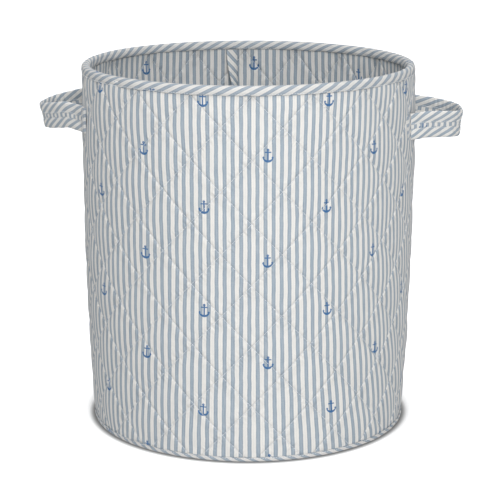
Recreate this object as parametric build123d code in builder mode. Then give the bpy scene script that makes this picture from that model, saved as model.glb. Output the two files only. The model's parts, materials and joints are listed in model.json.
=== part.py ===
"""Round quilted fabric storage basket with two sewn strap handles.

Millimetres, +Z up, origin at the middle of the base on the floor. Angles round the basket are in
degrees from the front (-Y), positive towards +X. The wall is one quilted sandwich of outer fabric,
wadding and lining, bulging slightly, closed by a seam at the back. Its edges are bound with bias
tape. Each handle is a bound strap that stands on edge and bends at its two sewn ends.
"""

from build123d import *
from math import asin, atan2, cos, degrees, hypot, radians, sin
import os

# Body
HEIGHT = 440.0
MOUTH_RADIUS = 200.0
WAIST_RADIUS = 200.75  # half way up
FLOOR_RADIUS = 192.85
FABRIC = 0.8
WALL_WADDING = 6.2
BASE_WADDING = 5.5
PLY_GAP = 0.05  # between layers that lie on each other
WALL_THICKNESS = 2 * FABRIC + WALL_WADDING + 2 * PLY_GAP

# Bindings and seams
TAPE = 0.8
RIM_BINDING_HEIGHT = 10.8
BASE_BINDING_HEIGHT = 5.5
THREAD = 0.3
THREAD_WIDTH = 0.6
STITCH_INSET = 1.3  # from a tape's edge to its line of stitches
SEAM_ANGLE = 187.0
SEAM_WIDTH = 15.0
SEAM_THICKNESS = 4.6
SEAM_GAP = 0.2
BASE_GAP = 0.15  # between the base panel and the binding round it

# Handles
STRAP_HEIGHT = 32.0
STRAP_CORE = 1.6
STRAP_TAPE = 0.6
STRAP_GAP = 0.05
STRAP_THICKNESS = STRAP_CORE + 2 * STRAP_GAP + 2 * STRAP_TAPE
STRAP_BINDING_HEIGHT = 13.5
HINGE_RADIUS = 212.0  # from the basket's axis to the line a strap folds about
LOOP_CORNER_RADIUS = 34.0
SEWN_END_FOOT = 13.0  # length of strap end that lies flat on the wall
SEWN_END_REACH = 194.6  # how far out the sewn end stands before the strap starts to bend
SEWN_END_PLY = 1.2
SEWN_GAP = 0.1
BARTACK_WIDTH = 2.0
BARTACK_HEIGHT = 27.0
BARTACK_PROUD = 0.4


class Handle:
    """Where one strap sits, with its loop's corners as (distance from the basket's axis, sideways)."""

    def __init__(self, name, angle, mid_height, droop, corners):
        self.name = name
        self.mid_height = mid_height
        self.outward = Vector(sin(radians(angle)), -cos(radians(angle)), 0)
        self.along = Vector(0, 0, 1).cross(self.outward)
        self.angle = angle
        self.corners = corners
        pivot = self.outward * HINGE_RADIUS + Vector(0, 0, mid_height)
        tip = self.outward * cos(radians(droop)) - Vector(0, 0, sin(radians(droop)))
        self.loop_plane = Plane(origin=pivot, x_dir=tip, z_dir=tip.cross(self.along))
        self.side_plane = Plane(origin=pivot, x_dir=tip, z_dir=-self.along)


RIGHT = Handle(
    "right_handle", angle=93.6, mid_height=371.0, droop=6.0,
    corners=[(184.0, -77.0), (258.0, -38.0), (258.0, 50.0), (186.0, 68.0)],
)
LEFT = Handle(
    "left_handle", angle=-102.0, mid_height=377.0, droop=12.0,
    corners=[(186.0, -70.0), (262.0, -58.0), (262.0, 26.0), (178.0, 87.0)],
)


def wall_radius(height):
    """Outer radius of the wall fabric, a shallow parabola through the three driving radii."""
    part_way = height / HEIGHT
    bulge = 4 * (WAIST_RADIUS - (FLOOR_RADIUS + MOUTH_RADIUS) / 2)
    return FLOOR_RADIUS + (MOUTH_RADIUS - FLOOR_RADIUS) * part_way + bulge * part_way * (1 - part_way)


def wall_ply(inset, thickness, bottom, top):
    """Closed profile of one layer of the wall, between two arcs that follow the bulge."""
    middle = (bottom + top) / 2
    outer = [(wall_radius(z) - inset, z) for z in (bottom, middle, top)]
    inner = [(wall_radius(z) - inset - thickness, z) for z in (top, middle, bottom)]
    ThreePointArc(*outer)
    Line(outer[-1], inner[0])
    ThreePointArc(*inner)
    Line(inner[-1], outer[0])


def save(piece, name):
    piece.part.label = name
    export_step(piece.part, f"parts/{name}.step")


os.makedirs("parts", exist_ok=True)

# Wall: outer fabric, wadding and lining, quilted together
rim_roll = WALL_THICKNESS / 2 + PLY_GAP + TAPE
wall_top = HEIGHT - rim_roll
wall_bottom = TAPE + PLY_GAP
wadding_inset = FABRIC + PLY_GAP
lining_inset = wadding_inset + WALL_WADDING + PLY_GAP

with BuildPart() as wall_outer_fabric:
    with BuildSketch(Plane.XZ):
        with BuildLine():
            wall_ply(0, FABRIC, wall_bottom, wall_top)
        make_face()
    revolve(axis=Axis.Z)
save(wall_outer_fabric, "wall_outer_fabric")

with BuildPart() as wall_wadding:
    with BuildSketch(Plane.XZ):
        with BuildLine():
            wall_ply(wadding_inset, WALL_WADDING, wall_bottom, wall_top)
        make_face()
        with Locations((wall_radius(wall_top) - WALL_THICKNESS / 2, wall_top)):
            Circle(WALL_WADDING / 2)
    revolve(axis=Axis.Z)
save(wall_wadding, "wall_wadding")

with BuildPart() as wall_lining_fabric:
    with BuildSketch(Plane.XZ):
        with BuildLine():
            wall_ply(lining_inset, FABRIC, wall_bottom, wall_top)
        make_face()
    revolve(axis=Axis.Z)
save(wall_lining_fabric, "wall_lining_fabric")

# Rim binding: bias tape folded over the top edge, with its line of stitches inside and out
rim_edge = HEIGHT - RIM_BINDING_HEIGHT
tape_inset = -PLY_GAP - TAPE
tape_span = WALL_THICKNESS + 2 * (PLY_GAP + TAPE)
wall_span = WALL_THICKNESS + 2 * PLY_GAP
stitch_lift = THREAD / 2 + PLY_GAP

with BuildPart() as rim_binding:
    with BuildSketch(Plane.XZ):
        with BuildLine():
            wall_ply(tape_inset, tape_span, rim_edge, wall_top)
        make_face()
        with Locations((wall_radius(wall_top) - WALL_THICKNESS / 2, wall_top)):
            Circle(rim_roll)
            Circle(rim_roll - TAPE, mode=Mode.SUBTRACT)
        with BuildLine():
            wall_ply(-PLY_GAP, wall_span, rim_edge - TAPE, wall_top)
        make_face(mode=Mode.SUBTRACT)
    revolve(axis=Axis.Z)
save(rim_binding, "rim_binding")

rim_stitch_height = rim_edge + STITCH_INSET
with BuildPart() as rim_stitching:
    with BuildSketch(Plane.XZ):
        outer_face = wall_radius(rim_stitch_height) - tape_inset
        inner_face = outer_face - tape_span
        outer_line = (outer_face + stitch_lift, rim_stitch_height)
        inner_line = (inner_face - stitch_lift, rim_stitch_height)
        with Locations(outer_line, inner_line):
            Rectangle(THREAD, THREAD_WIDTH)
    revolve(axis=Axis.Z)
save(rim_stitching, "rim_stitching")

# Base: a round quilted panel inside the wall's lower edge, both edges held in the base binding
binding_inner_radius = wall_radius(0) - WALL_THICKNESS - PLY_GAP - TAPE
base_radius = binding_inner_radius - BASE_GAP
base_plies = {
    "base_outer_fabric": (0, FABRIC),
    "base_wadding": (FABRIC + PLY_GAP, BASE_WADDING),
    "base_lining_fabric": (FABRIC + BASE_WADDING + 2 * PLY_GAP, FABRIC),
}
for name, (bottom, thickness) in base_plies.items():
    with BuildPart() as base_ply:
        with BuildSketch(Plane.XY.offset(bottom)):
            Circle(base_radius)
        extrude(amount=thickness)
    save(base_ply, name)
base_top = 2 * FABRIC + BASE_WADDING + 2 * PLY_GAP

with BuildPart() as base_binding:
    with BuildSketch(Plane.XZ):
        with BuildLine():
            wall_ply(tape_inset, tape_span, 0, BASE_BINDING_HEIGHT)
        make_face()
        with BuildLine():
            wall_ply(-PLY_GAP, wall_span, TAPE, BASE_BINDING_HEIGHT + TAPE)
        make_face(mode=Mode.SUBTRACT)
    revolve(axis=Axis.Z)
save(base_binding, "base_binding")

base_stitch_height = BASE_BINDING_HEIGHT - STITCH_INSET
with BuildPart() as base_stitching:
    with BuildSketch(Plane.XZ):
        outer_face = wall_radius(base_stitch_height) - tape_inset
        with Locations((outer_face + stitch_lift, base_stitch_height)):
            Rectangle(THREAD, THREAD_WIDTH)
    revolve(axis=Axis.Z)
save(base_stitching, "base_stitching")


def wall_patch(angle, width, inset, thickness, bottom, top):
    """A strip that follows the wall, centred at an angle; a negative inset puts it outside."""
    sweep_angle = degrees(width / MOUTH_RADIUS)
    start = radians(angle - sweep_angle / 2)
    across = Vector(sin(start), -cos(start), 0)
    with BuildPart() as patch:
        with BuildSketch(Plane(origin=(0, 0, 0), x_dir=across, z_dir=across.cross(Vector(0, 0, 1)))):
            with BuildLine():
                wall_ply(inset, thickness, bottom, top)
            make_face()
        revolve(axis=Axis.Z, revolution_arc=sweep_angle)
    return patch


# Back seam: the wall's two ends, bound with tape and lying flat against the lining
seam_inset = WALL_THICKNESS + SEAM_GAP
wall_seam_binding = wall_patch(
    SEAM_ANGLE, SEAM_WIDTH, seam_inset, SEAM_THICKNESS, base_top + SEAM_GAP, rim_edge - SEAM_GAP
)
save(wall_seam_binding, "wall_seam_binding")


def loop_sweep(handle, sections):
    """Sweeps rectangles (height, thickness, mid height, mid thickness) round a handle's loop.

    A negative height cuts. The ends are rounded about the fold line, so the strap turns there
    without touching the wall.
    """
    with BuildPart() as layer:
        with BuildLine(handle.loop_plane) as route:
            points = [(distance - HINGE_RADIUS, sideways) for distance, sideways in handle.corners]
            FilletPolyline(*points, radius=LOOP_CORNER_RADIUS)
        start = Plane(origin=route.line @ 0, x_dir=handle.loop_plane.z_dir, z_dir=route.line % 0)
        with BuildSketch(start):
            for height, thickness, mid_height, mid_thickness in sections:
                mode = Mode.ADD if height > 0 else Mode.SUBTRACT
                with Locations((mid_height, mid_thickness)):
                    Rectangle(abs(height), thickness, mode=mode)
        sweep(path=route.line)
        with BuildSketch(handle.side_plane):
            Rectangle(2 * STRAP_HEIGHT, 2 * STRAP_HEIGHT, align=(Align.MIN, Align.CENTER))
            Circle(STRAP_HEIGHT / 2)
        extrude(amount=MOUTH_RADIUS, both=True, mode=Mode.INTERSECT)
    return layer


def strap_binding(handle, up):
    """Tape folded over the strap's upper (up = 1) or lower (up = -1) edge."""
    slot_height = STRAP_HEIGHT / 2 - STRAP_TAPE
    tape_middle = up * (STRAP_HEIGHT - STRAP_BINDING_HEIGHT) / 2
    tape = (STRAP_BINDING_HEIGHT, STRAP_THICKNESS, tape_middle, 0)
    slot = (-slot_height, STRAP_THICKNESS - 2 * STRAP_TAPE, up * slot_height / 2, 0)
    return loop_sweep(handle, [tape, slot])


def strap_stitching(handle):
    """Four lines of stitches, along the open edge of each binding on both faces."""
    line_height = STRAP_HEIGHT / 2 - STRAP_BINDING_HEIGHT + STITCH_INSET
    line_out = STRAP_THICKNESS / 2 + stitch_lift
    sides = [(up, out) for up in (-1, 1) for out in (-1, 1)]
    sections = [(THREAD_WIDTH, THREAD, up * line_height, out * line_out) for up, out in sides]
    return loop_sweep(handle, sections)


def end_runs(handle):
    """For each strap end: its corner on the wall, the next corner, and the way the foot points.

    The feet point away from each other, so the strap opens them out on the wall as it is pulled.
    """
    return (handle.corners[0], handle.corners[1], -1), (handle.corners[3], handle.corners[2], 1)


def foot_angle(handle, on_wall, next_corner, way, distance):
    """Angle round the basket of a point on a foot, a distance from where strap and wall meet."""
    root = wall_radius(handle.mid_height)
    lean = atan2(next_corner[1] - on_wall[1], next_corner[0] - on_wall[0])
    past_axis = on_wall[1] * cos(lean) - on_wall[0] * sin(lean)
    meeting = lean + asin(past_axis / root)
    return handle.angle + degrees(meeting + way * distance / root)


def sewn_ends(handle):
    """The strap's two ends: each lies flat on the wall, then turns out to where the strap bends."""
    low, high = handle.mid_height - STRAP_HEIGHT / 2, handle.mid_height + STRAP_HEIGHT / 2
    level = Plane(origin=(0, 0, low), x_dir=handle.outward, z_dir=(0, 0, 1))
    clear_radius = wall_radius(handle.mid_height) + SEWN_END_PLY / 2
    foot_reach = (SEWN_END_FOOT - STRAP_THICKNESS) / 2
    with BuildPart() as ends:
        with BuildSketch(level):
            for on_wall, next_corner, way in end_runs(handle):
                run = Vector(*next_corner) - Vector(*on_wall)
                turn = degrees(atan2(run.Y, run.X))
                length = (SEWN_END_REACH - on_wall[0]) * hypot(run.X, run.Y) / run.X
                with Locations(Location(Vector(*on_wall), turn)):
                    Rectangle(length, STRAP_THICKNESS, align=(Align.MIN, Align.CENTER))
        extrude(amount=STRAP_HEIGHT)
        with Locations(Plane(origin=(0, 0, handle.mid_height))):
            Cylinder(clear_radius, 2 * STRAP_HEIGHT, mode=Mode.SUBTRACT)
        for on_wall, next_corner, way in end_runs(handle):
            middle = foot_angle(handle, on_wall, next_corner, way, foot_reach)
            foot = wall_patch(middle, SEWN_END_FOOT, -SEWN_GAP - SEWN_END_PLY, SEWN_END_PLY, low, high)
            add(foot.part)
    return ends


def bartacks(handle):
    """Dense bars of stitches that hold the two sewn ends to the wall."""
    low, high = handle.mid_height - BARTACK_HEIGHT / 2, handle.mid_height + BARTACK_HEIGHT / 2
    inset = -SEWN_GAP - SEWN_END_PLY - PLY_GAP - BARTACK_PROUD
    with BuildPart() as bars:
        for on_wall, next_corner, way in end_runs(handle):
            middle = foot_angle(handle, on_wall, next_corner, way, SEWN_END_FOOT - 2 * BARTACK_WIDTH)
            add(wall_patch(middle, BARTACK_WIDTH, inset, BARTACK_PROUD, low, high).part)
    return bars


for handle in (RIGHT, LEFT):
    core_height = STRAP_HEIGHT - 2 * (STRAP_TAPE + STRAP_GAP)
    save(loop_sweep(handle, [(core_height, STRAP_CORE, 0, 0)]), f"{handle.name}_core")
    save(strap_binding(handle, 1), f"{handle.name}_upper_binding")
    save(strap_binding(handle, -1), f"{handle.name}_lower_binding")
    save(strap_stitching(handle), f"{handle.name}_stitching")
    save(sewn_ends(handle), f"{handle.name}_sewn_ends")
    save(bartacks(handle), f"{handle.name}_bartacks")
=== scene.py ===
"""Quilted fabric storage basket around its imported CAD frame: looks, light and camera.

Metres, +Z up. Angles round the basket are in radians from the front (-Y), positive towards +X.
Every cloth piece carries a UV map called Cloth, in millimetres of the printed cloth: x counts
across the stripes and y runs along them. One printed-cloth material draws stripes and anchors
from it, so the bias bindings are the same cloth with the map turned.
"""

import json
import math
from math import cos, pi, radians, sin, tau

import bpy
import numpy as np
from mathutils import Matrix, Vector


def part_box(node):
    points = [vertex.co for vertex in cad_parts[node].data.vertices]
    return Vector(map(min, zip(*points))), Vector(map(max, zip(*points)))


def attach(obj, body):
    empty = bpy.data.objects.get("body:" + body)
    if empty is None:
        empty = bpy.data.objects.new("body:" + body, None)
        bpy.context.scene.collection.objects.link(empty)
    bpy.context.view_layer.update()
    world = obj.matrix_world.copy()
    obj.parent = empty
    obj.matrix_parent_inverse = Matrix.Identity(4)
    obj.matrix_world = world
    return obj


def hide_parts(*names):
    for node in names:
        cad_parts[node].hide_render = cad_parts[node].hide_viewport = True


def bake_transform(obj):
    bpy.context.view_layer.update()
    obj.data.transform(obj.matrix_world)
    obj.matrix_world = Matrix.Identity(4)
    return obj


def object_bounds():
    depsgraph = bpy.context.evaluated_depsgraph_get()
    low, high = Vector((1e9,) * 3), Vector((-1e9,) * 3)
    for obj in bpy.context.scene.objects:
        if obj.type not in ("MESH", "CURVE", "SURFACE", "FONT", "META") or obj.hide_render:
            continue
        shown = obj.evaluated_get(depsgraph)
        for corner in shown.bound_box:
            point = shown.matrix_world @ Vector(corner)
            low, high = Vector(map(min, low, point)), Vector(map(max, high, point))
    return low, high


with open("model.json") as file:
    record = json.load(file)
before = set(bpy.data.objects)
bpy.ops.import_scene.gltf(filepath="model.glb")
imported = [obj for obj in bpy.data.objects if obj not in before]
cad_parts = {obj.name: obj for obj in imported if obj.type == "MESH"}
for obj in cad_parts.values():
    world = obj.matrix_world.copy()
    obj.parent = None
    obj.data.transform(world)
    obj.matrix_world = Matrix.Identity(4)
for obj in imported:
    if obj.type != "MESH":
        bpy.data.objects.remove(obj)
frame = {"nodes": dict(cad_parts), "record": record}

cad_low, cad_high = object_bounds()
MM = 0.001


# ---------------------------------------------------------------- sizes read from the frame

def cad_points(node):
    """All corner points of a CAD node, as an array."""
    mesh = frame["nodes"][node].data
    points = np.zeros(len(mesh.vertices) * 3, np.float32)
    mesh.vertices.foreach_get("co", points)
    return points.reshape(-1, 3).astype(float)


def fitted_profile(node):
    """Outer radius of a turned CAD node, as a parabola of height."""
    points = cad_points(node)
    radius, height = np.hypot(points[:, 0], points[:, 1]), points[:, 2]
    rows = [(z, radius[np.abs(height - z) < MM].max()) for z in np.unique(height.round(3))]
    z, r = np.array(rows).T
    return np.poly1d(np.polyfit(z, r, 2))


profile = fitted_profile("wall_outer_fabric")
HEIGHT = cad_high.z
WALL_LOW, WALL_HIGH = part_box("wall_outer_fabric")[0].z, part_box("wall_outer_fabric")[1].z
RIM_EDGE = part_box("rim_binding")[0].z
BASE_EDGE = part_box("base_binding")[1].z
BASE_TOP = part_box("base_lining_fabric")[1].z
BASE_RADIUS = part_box("base_lining_fabric")[1].x
MOUTH_RADIUS = float(profile(HEIGHT))
WALL_THICKNESS = float(profile(WALL_LOW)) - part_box("base_lining_fabric")[1].x - 1.0 * MM
TAPE = 0.8 * MM

# Quilting: diamonds whose corners are the nodes where lines of stitches cross
DIAMONDS_ROUND = 18
DIAMOND_HEIGHT = 72.2 * MM
LINE_SPACING = 50.2
NODE_ANGLE = radians(1.2)
NODE_HEIGHT = 356.7 * MM
SEAM_ANGLE = radians(185.4)
BASE_DIAMOND = 72.0 * MM

# Printed cloth
STRIPE = 9.3
ANCHOR_COLUMN = 7.81 * STRIPE
ANCHOR_ROW = 120.5
ANCHOR_X = 2.27 * STRIPE
ANCHOR_Y = 362.7
BLUE_HALF_WIDTH = 0.242 * STRIPE
CREAM, CREAM_LINE = (0.735, 0.717, 0.682), (0.50, 0.51, 0.51)
SLATE, SLATE_EDGE = (0.286, 0.350, 0.414), (0.226, 0.286, 0.349)
# INK_RAISED_LIT is the ink on raised threads, painted lighter as light on the weave's tops.
INK, INK_RAISED_LIT = (0.004, 0.078, 0.225), (0.010, 0.120, 0.310)
# SHADE is the dark colour that painted shade mixes into the cloth.
SHADE = (0.16, 0.17, 0.19)
# THREAD_GAP_SHADE is painted shade, mixed in between the woven threads.
THREAD_GAP_SHADE = (0.10, 0.11, 0.13)
# Painted shade: the rim and base tapes and the strap feet use a copy of the printed cloth darkened all
# over by this share.
TAPE_PAINTED_SHADE = 0.20

# Bias tapes: the angle of the stripes to the tape, and how far apart they are along it
RING_SLOPE = radians(28)
STRAP_SLOPE = radians(27)
RIM_PERIOD, BASE_PERIOD, STRAP_PERIOD = 17.2, 16.0, 16.8

# A spread under 1 stands the anchors further apart along a tape, and RIM_SHIFT slides the rim
# tape's cloth. A search over both set where anchors fall on the rim.
ANCHOR_SPREAD = 0.78
RIM_SHIFT = (10.3, 22.2)

# Stitches, as pitch, length and radius
TAPE_STITCH = {"pitch": 3.2 * MM, "length": 2.5 * MM, "radius": 0.22 * MM}
STRAP_STITCH = {"pitch": 3.0 * MM, "length": 2.4 * MM, "radius": 0.2 * MM}
TACK_STITCH = {"pitch": 2.2 * MM, "length": 2.1 * MM, "radius": 0.22 * MM}

# Studio light
AMBIENT = 0.60
KEY_WATTS = 38
TOP_WATTS = 27
BOUNCE_WATTS = 8
FLOOR_GLOW = 0.62
# Painted contact shadow on the floor: round the basket's foot it glows only CONTACT_GLOW, and its
# colour darkens towards CONTACT_SHADE.
CONTACT_GLOW = 0.1
CONTACT_SHADE = (0.12, 0.12, 0.12)
BACKDROP_GLOW = 0.8
CONTACT_START, CONTACT_END, GLOW_START, GLOW_END = 0.193, 0.2025, 0.194, 0.222


# ---------------------------------------------------------------- small helpers

def ripple(a, b, seed, waves=7, a_reach=6, b_reach=20.0):
    """Smooth repeatable unevenness of about -1 to 1; a is an angle and it closes over a full turn."""
    random = np.random.default_rng(seed)
    total = np.zeros(np.broadcast(a, b).shape)
    for _ in range(waves):
        turns = int(random.integers(-a_reach, a_reach + 1))
        slope = random.uniform(-b_reach, b_reach)
        total = total + np.cos(turns * a + slope * b + random.uniform(0, tau))
    return total / math.sqrt(waves)


def smooth(x, low, high):
    """0 below low, 1 above high, and an even slope between."""
    t = np.clip((x - low) / (high - low), 0, 1)
    return t * t * (3 - 2 * t)


def around(radius, angle, height):
    """Points from cylindrical coordinates, with the angle from the front."""
    return np.stack([radius * np.sin(angle), -radius * np.cos(angle), height + 0 * angle], -1)


def add_map(piece, name, uv):
    layer = piece.data.uv_layers.new(name=name)
    layer.data.foreach_set("uv", np.asarray(uv, np.float32).ravel())


def make_piece(name, points, faces, material, uv=None):
    """A mesh object from points, faces and one UV pair for each face corner.

    faces is one array of equal faces, or a list of such arrays.
    """
    mesh = bpy.data.meshes.new(name)
    mesh.from_pydata([], [], [])
    points = np.asarray(points, np.float32)
    blocks = faces if isinstance(faces, list) else [faces]
    sizes = np.concatenate([np.full(len(block), block.shape[1]) for block in blocks])
    corners = np.concatenate([block.ravel() for block in blocks])
    mesh.vertices.add(len(points))
    mesh.vertices.foreach_set("co", points.ravel())
    mesh.loops.add(len(corners))
    mesh.loops.foreach_set("vertex_index", corners.astype(np.int32))
    mesh.polygons.add(len(sizes))
    starts = np.concatenate([[0], np.cumsum(sizes)[:-1]])
    mesh.polygons.foreach_set("loop_start", starts.astype(np.int32))
    mesh.polygons.foreach_set("loop_total", sizes.astype(np.int32))
    mesh.update(calc_edges=True)
    mesh.validate()
    mesh.polygons.foreach_set("use_smooth", np.ones(len(mesh.polygons), bool))
    mesh.materials.append(material)
    piece = bpy.data.objects.new(name, mesh)
    if uv is not None:
        add_map(piece, "Cloth", uv)
    bpy.context.scene.collection.objects.link(piece)
    return piece


# ---------------------------------------------------------------- material nodes

class Graph:
    """Short calls for building a material's node tree."""

    def __init__(self, name):
        self.material = bpy.data.materials.new(name)
        self.material.use_nodes = True
        self.tree = self.material.node_tree
        self.shader = self.tree.nodes["Principled BSDF"]

    def node(self, kind, **settings):
        made = self.tree.nodes.new(kind)
        for key, value in settings.items():
            setattr(made, key, value)
        return made

    def plug(self, value, socket):
        if isinstance(value, bpy.types.NodeSocket):
            self.tree.links.new(value, socket)
        else:
            socket.default_value = value

    def math(self, operation, *values, clamp=False):
        made = self.node("ShaderNodeMath", operation=operation, use_clamp=clamp)
        for value, socket in zip(values, made.inputs):
            self.plug(value, socket)
        return made.outputs[0]

    def add(self, *values):
        return self.fold("ADD", values)

    def multiply(self, *values):
        return self.fold("MULTIPLY", values)

    def highest(self, *values):
        return self.fold("MAXIMUM", values)

    def lowest(self, *values):
        return self.fold("MINIMUM", values)

    def fold(self, operation, values):
        total = values[0]
        for value in values[1:]:
            total = self.math(operation, total, value)
        return total

    def subtract(self, a, b):
        return self.math("SUBTRACT", a, b)

    def size(self, a):
        return self.math("ABSOLUTE", a)

    def length(self, x, y):
        return self.math("SQRT", self.add(self.multiply(x, x), self.multiply(y, y)))

    def step(self, value, low, high, reverse=False):
        """0 to 1 as value goes from low to high, or 1 to 0 in reverse."""
        made = self.node("ShaderNodeMapRange", interpolation_type="SMOOTHSTEP")
        ends = (1.0, 0.0) if reverse else (0.0, 1.0)
        for value_in, socket in zip((value, low, high, *ends), made.inputs):
            self.plug(value_in, socket)
        return made.outputs[0]

    def mix(self, share, a, b):
        made = self.node("ShaderNodeMix", data_type="RGBA", clamp_factor=True)
        for value, key in ((share, 0), (a, 6), (b, 7)):
            if isinstance(value, tuple) and len(value) == 3:
                value = (*value, 1.0)
            self.plug(value, made.inputs[key])
        return made.outputs[2]

    def noise(self, vector, scale, detail=3.0, roughness=0.5):
        made = self.node("ShaderNodeTexNoise")
        self.plug(vector, made.inputs["Vector"])
        made.inputs["Scale"].default_value = scale
        made.inputs["Detail"].default_value = detail
        made.inputs["Roughness"].default_value = roughness
        return made.outputs["Fac"]

    def split(self, vector):
        made = self.node("ShaderNodeSeparateXYZ")
        self.plug(vector, made.inputs[0])
        return made.outputs[0], made.outputs[1]

    def vector(self, x, y, z=0.0):
        made = self.node("ShaderNodeCombineXYZ")
        for value, socket in zip((x, y, z), made.inputs):
            self.plug(value, socket)
        return made.outputs[0]

    def bump(self, height, distance, strength=1.0, normal=None):
        made = self.node("ShaderNodeBump")
        made.inputs["Strength"].default_value = strength
        made.inputs["Distance"].default_value = distance
        self.plug(height, made.inputs["Height"])
        if normal is not None:
            self.plug(normal, made.inputs["Normal"])
        return made.outputs[0]


def anchor_mask(g, x, y):
    """1 inside a small printed anchor centred on x = y = 0, in millimetres."""
    shank = g.highest(g.subtract(g.size(x), 0.85), g.subtract(g.size(g.add(y, 0.5)), 6.2))
    stock = g.highest(g.subtract(g.size(g.subtract(y, 3.9)), 0.7), g.subtract(g.size(x), 3.7))
    ring = g.subtract(g.size(g.subtract(g.length(x, g.subtract(y, 6.5)), 0.85)), 0.62)
    outer_arc = g.subtract(g.length(x, g.add(y, 1.5)), 6.15)
    inner_arc = g.subtract(6.4, g.length(x, g.subtract(y, 1.4)))
    arms = g.highest(outer_arc, inner_arc, g.add(y, 1.9))
    side = g.size(x)
    fluke_reach = g.add(g.size(g.subtract(side, 5.2)), g.multiply(g.size(g.add(y, 2.1)), 0.8))
    fluke = g.subtract(fluke_reach, 1.35)
    whole = g.lowest(shank, stock, ring, arms, fluke)
    return g.step(whole, -0.16, 0.16, reverse=True)


def line_distance(g, place):
    """Millimetres to the nearest line of quilting, which runs half way between whole numbers."""
    return g.multiply(g.subtract(0.5, g.math("PINGPONG", g.add(place, 1000.0), 0.5)), LINE_SPACING)


def quilting_bump(g, p, q, normal):
    """Crease along each line of stitches, with short puckers that run across it."""
    for place, other, seed in ((p, q, 0.0), (q, p, 37.0)):
        distance = line_distance(g, place)
        crease = g.step(distance, 0.0, 2.2)
        along = g.multiply(other, LINE_SPACING)
        across = g.multiply(place, LINE_SPACING)
        gather_place = g.vector(g.multiply(along, 0.30), g.multiply(across, 0.055), seed)
        gather = g.noise(gather_place, 1.0, detail=2.0)
        near = g.step(distance, 0.5, 13.0, reverse=True)
        normal = g.bump(crease, 0.0008, 0.6, normal)
        normal = g.bump(g.multiply(gather, near), 0.0032, 0.7, normal)
    return normal


def printed_cloth(name, painted_tape_shade=0.0):
    """Ticking stripe with small anchors, cream and slate blue; the last argument darkens all of it a
    little, as painted shade.
    """
    g = Graph(name)
    cloth = g.node("ShaderNodeUVMap", uv_map="Cloth").outputs[0]
    x, y = g.split(cloth)
    quilt_p, quilt_q = g.split(g.node("ShaderNodeUVMap", uv_map="Quilt").outputs[0])

    waver_place = g.vector(g.multiply(x, 0.05), g.multiply(y, 0.045))
    waver = g.subtract(g.noise(waver_place, 1.0, detail=2.0), 0.5)
    tremble = g.subtract(g.noise(g.vector(g.multiply(x, 0.12), g.multiply(y, 0.45)), 1.0), 0.5)
    across = g.add(x, g.multiply(waver, 1.5), g.multiply(tremble, 0.4))
    phase = g.math("PINGPONG", g.add(across, STRIPE * 1000), STRIPE / 2)
    blue = g.step(phase, BLUE_HALF_WIDTH - 0.25, BLUE_HALF_WIDTH + 0.25, reverse=True)

    half_drop = g.subtract(x, ANCHOR_X)
    column = g.math("ROUND", g.math("DIVIDE", half_drop, ANCHOR_COLUMN))
    local_x = g.subtract(half_drop, g.multiply(column, ANCHOR_COLUMN))
    odd = g.math("PINGPONG", column, 1.0)
    drop = g.add(g.subtract(y, ANCHOR_Y), g.multiply(odd, ANCHOR_ROW / 2))
    row = g.math("ROUND", g.math("DIVIDE", drop, ANCHOR_ROW))
    local_y = g.subtract(drop, g.multiply(row, ANCHOR_ROW))
    anchor = anchor_mask(g, local_x, local_y)

    warp = g.math("SINE", g.multiply(x, tau / 0.62))
    weft = g.math("SINE", g.multiply(y, tau / 0.7))
    weave = g.multiply(warp, weft)
    slub = g.noise(g.vector(g.multiply(x, 1.7), g.multiply(y, 0.06)), 1.0, detail=2.0)
    cross_slub = g.noise(g.vector(g.multiply(x, 0.07), g.multiply(y, 1.9)), 1.0, detail=2.0)
    patchy = g.noise(cloth, 0.05, detail=2.0)

    cream_line = g.step(g.size(g.subtract(phase, 0.50 * STRIPE)), 0.15, 0.60, reverse=True)
    cream = g.mix(g.multiply(cream_line, 0.30), CREAM, CREAM_LINE)
    blue_edge = g.step(phase, 0.05 * STRIPE, 0.16 * STRIPE)
    slate = g.mix(blue_edge, SLATE, SLATE_EDGE)
    stripes = g.mix(blue, cream, slate)
    mottled = g.mix(g.multiply(g.step(slub, 0.35, 0.75), 0.22), stripes, (0.62, 0.64, 0.66))
    mottled = g.mix(g.multiply(g.step(cross_slub, 0.45, 0.8), 0.10), mottled, (0.80, 0.79, 0.76))
    mottled = g.mix(g.multiply(g.step(patchy, 0.3, 0.8), 0.06), mottled, (0.40, 0.42, 0.45))
    # Painted light on the weave: the ink is lighter on raised threads, and all colour darkens between
    # threads as painted shade.
    ink = g.mix(g.step(weave, -1.0, 0.6), INK, INK_RAISED_LIT)
    colour = g.mix(g.multiply(anchor, 0.93), mottled, ink)
    painted_gap_shade = g.multiply(g.step(weave, -1.0, 0.2, reverse=True), 0.16)
    threads = g.mix(painted_gap_shade, colour, THREAD_GAP_SHADE)
    # Painted shade: within 1.3 mm of each quilting line the colour darkens towards SHADE, as shade in
    # the crease.
    distances = [line_distance(g, place) for place in (quilt_p, quilt_q)]
    painted_line_shade = g.highest(*(g.step(distance, 0.0, 1.3, reverse=True) for distance in distances))
    # The tape copy's painted shade is added to the line shade here.
    painted_shade_share = g.add(painted_tape_shade, g.multiply(0.07, painted_line_shade))
    g.plug(g.mix(painted_shade_share, threads, SHADE), g.shader.inputs["Base Color"])

    fine = g.bump(weave, 0.00008, 0.5)
    crumple = g.bump(g.noise(cloth, 0.16, detail=3.0, roughness=0.55), 0.0009, 0.35, fine)
    g.plug(quilting_bump(g, quilt_p, quilt_q, crumple), g.shader.inputs["Normal"])
    roughness = g.step(weave, -1.5, 2.5)
    g.plug(g.add(0.50, g.multiply(roughness, 0.12)), g.shader.inputs["Roughness"])
    g.shader.inputs["Sheen Weight"].default_value = 0.04
    g.shader.inputs["Sheen Roughness"].default_value = 0.4
    g.shader.inputs["Specular IOR Level"].default_value = 0.35
    return g.material


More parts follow.
